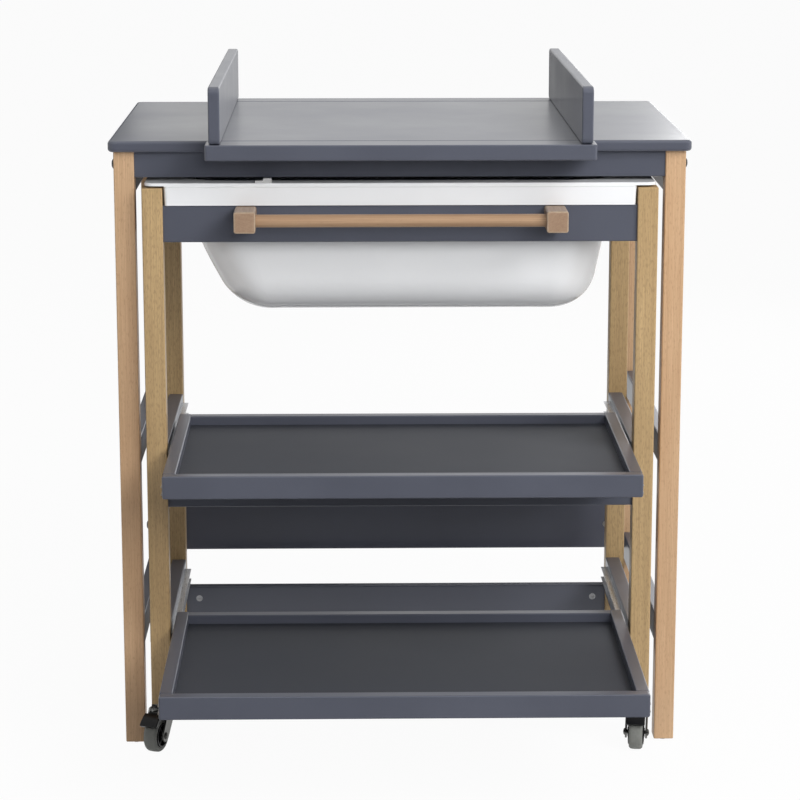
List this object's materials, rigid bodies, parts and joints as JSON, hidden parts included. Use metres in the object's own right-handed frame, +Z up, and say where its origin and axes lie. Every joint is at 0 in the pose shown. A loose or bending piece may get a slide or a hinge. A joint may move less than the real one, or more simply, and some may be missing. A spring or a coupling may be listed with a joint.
{
  "type": "changing table with bathtub",
  "caption": "Changing table with a lift-off changing frame and, under it, a rolling trolley that carries a baby bathtub and pull-out trays.",
  "frame": {"origin": "on the floor, under the middle of the whole object's box with both trays out as in the picture", "axes": "+X to the user's right, +Y away from the user, +Z up"},
  "size_m": [0.82, 0.9294, 0.97],
  "materials": {
    "grey_paint": "satin paint on wood",
    "beech": "clear varnish, fine grain",
    "pale_wood": "clear varnish, straight grain",
    "handle_wood": "clear varnish, end grain on the blocks",
    "tub_plastic": "glossy moulded",
    "clip_plastic": "moulded",
    "plug_rubber": "matt moulded",
    "zinc_steel": "zinc plated",
    "dark_steel": "burnished",
    "black_plastic": "moulded, fine grain",
    "wheel_rubber": "matt tread"
  },
  "bodies": {
    "table": {"table_top": "grey_paint", "table_leg_front_left": "beech", "table_leg_front_right": "beech", "table_leg_rear_left": "beech", "table_leg_rear_right": "beech", "foot_pads": "black_plastic", "front_apron": "grey_paint", "rear_apron": "grey_paint", "rear_stretcher": "grey_paint", "side_aprons": "grey_paint", "table_side_rails": "grey_paint", "leg_bolts": "dark_steel", "barrel_nuts": "zinc_steel"},
    "changing_frame": {"frame_front_rail": "grey_paint", "frame_rear_rail": "grey_paint", "changing_board_left": "grey_paint", "changing_board_right": "grey_paint"},
    "trolley": {"trolley_leg_front_left": "pale_wood", "trolley_leg_front_right": "pale_wood", "trolley_leg_rear_left": "pale_wood", "trolley_leg_rear_right": "pale_wood", "trolley_upper_front_rail": "grey_paint", "trolley_upper_rear_rail": "grey_paint", "trolley_middle_front_rail": "grey_paint", "trolley_middle_rear_rail": "grey_paint", "trolley_lower_front_rail": "grey_paint", "trolley_lower_rear_rail": "grey_paint", "trolley_upper_side_rails": "grey_paint", "trolley_side_rails": "grey_paint", "cam_locks": "zinc_steel", "grip_blocks": "handle_wood", "grip_bar": "handle_wood", "runner_outer_members": "zinc_steel", "caster_mounts": "zinc_steel"},
    "bathtub": {"bathtub": "tub_plastic", "rim_clip": "clip_plastic"},
    "drain_plug": {"drain_plug": "plug_rubber"},
    "middle_tray": {"middle_tray_front": "grey_paint", "middle_tray_back": "grey_paint", "middle_tray_sides": "grey_paint", "middle_tray_floor": "grey_paint", "middle_runner_inner_members": "zinc_steel"},
    "middle_runner": {"middle_runner_middle_members": "zinc_steel"},
    "lower_tray": {"lower_tray_front": "grey_paint", "lower_tray_back": "grey_paint", "lower_tray_sides": "grey_paint", "lower_tray_floor": "grey_paint", "lower_runner_inner_members": "zinc_steel"},
    "lower_runner": {"lower_runner_middle_members": "zinc_steel"},
    "fork_front_left": {"caster_fork_front_left": "zinc_steel"},
    "wheel_front_left": {"caster_wheel_front_left": "wheel_rubber"},
    "pedal_front_left": {"brake_pedal_front_left": "black_plastic"},
    "fork_front_right": {"caster_fork_front_right": "zinc_steel"},
    "wheel_front_right": {"caster_wheel_front_right": "wheel_rubber"},
    "pedal_front_right": {"brake_pedal_front_right": "black_plastic"},
    "fork_rear_left": {"caster_fork_rear_left": "zinc_steel"},
    "wheel_rear_left": {"caster_wheel_rear_left": "wheel_rubber"},
    "fork_rear_right": {"caster_fork_rear_right": "zinc_steel"},
    "wheel_rear_right": {"caster_wheel_rear_right": "wheel_rubber"}
  },
  "joints": [
    {"name": "changing_frame_lift", "type": "slide", "parent": "table", "child": "changing_frame", "axis": [0, 0, 1], "range_m": [0, 0.15]},
    {"name": "trolley_roll", "type": "slide", "parent": "table", "child": "trolley", "axis": [0, -1, 0], "range_m": [0, 0.6]},
    {"name": "bathtub_lift", "type": "slide", "parent": "trolley", "child": "bathtub", "axis": [0, 0, 1], "range_m": [0, 0.004]},
    {"name": "drain_plug_lift", "type": "slide", "parent": "bathtub", "child": "drain_plug", "axis": [0, 0, 1], "range_m": [0, 0.05]},
    {"name": "middle_tray_slide", "type": "slide", "parent": "trolley", "child": "middle_tray", "axis": [0, -1, 0], "range_m": [-0.191, 0.136]},
    {"name": "lower_tray_slide", "type": "slide", "parent": "trolley", "child": "lower_tray", "axis": [0, -1, 0], "range_m": [-0.327, 0]},
    {"name": "middle_runner_slide", "type": "slide", "parent": "trolley", "child": "middle_runner", "axis": [0, -1, 0], "range_m": [-0.0955, 0.068]},
    {"name": "lower_runner_slide", "type": "slide", "parent": "trolley", "child": "lower_runner", "axis": [0, -1, 0], "range_m": [-0.1635, 0]},
    {"name": "swivel_front_left", "type": "hinge", "parent": "trolley", "child": "fork_front_left", "pos_m": [-0.348, -0.12325, 0.058], "axis": [0, 0, 1], "range_deg": [-44, 212]},
    {"name": "wheel_spin_front_left", "type": "hinge", "parent": "fork_front_left", "child": "wheel_front_left", "pos_m": [-0.35624, -0.14365, 0.025], "axis": [0.9272, -0.3746, 0], "continuous": true},
    {"name": "brake_front_left", "type": "hinge", "parent": "fork_front_left", "child": "pedal_front_left", "pos_m": [-0.35053, -0.12951, 0.05141], "axis": [0.9272, -0.3746, 0], "range_deg": [0, 6]},
    {"name": "swivel_front_right", "type": "hinge", "parent": "trolley", "child": "fork_front_right", "pos_m": [0.348, -0.12325, 0.058], "axis": [0, 0, 1], "range_deg": [-180, 74]},
    {"name": "wheel_spin_front_right", "type": "hinge", "parent": "fork_front_right", "child": "wheel_front_right", "pos_m": [0.34456, -0.14498, 0.025], "axis": [0.9877, -0.1564, 0], "continuous": true},
    {"name": "brake_front_right", "type": "hinge", "parent": "fork_front_right", "child": "pedal_front_right", "pos_m": [0.34694, -0.12992, 0.05141], "axis": [0.9877, -0.1564, 0], "range_deg": [0, 6]},
    {"name": "swivel_rear_left", "type": "hinge", "parent": "trolley", "child": "fork_rear_left", "pos_m": [-0.348, 0.25775, 0.058], "axis": [0, 0, 1], "continuous": true},
    {"name": "wheel_spin_rear_left", "type": "hinge", "parent": "fork_rear_left", "child": "wheel_rear_left", "pos_m": [-0.34268, 0.2364, 0.025], "axis": [0.9703, 0.2419, 0], "continuous": true},
    {"name": "swivel_rear_right", "type": "hinge", "parent": "trolley", "child": "fork_rear_right", "pos_m": [0.348, 0.25775, 0.058], "axis": [0, 0, 1], "continuous": true},
    {"name": "wheel_spin_rear_right", "type": "hinge", "parent": "fork_rear_right", "child": "wheel_rear_right", "pos_m": [0.34157, 0.23671, 0.025], "axis": [0.9563, -0.2924, 0], "continuous": true}
  ],
  "couplings": [
    {"joint": "middle_runner_slide", "follows": "middle_tray_slide", "ratio": 0.5},
    {"joint": "lower_runner_slide", "follows": "lower_tray_slide", "ratio": 0.5}
  ]
}
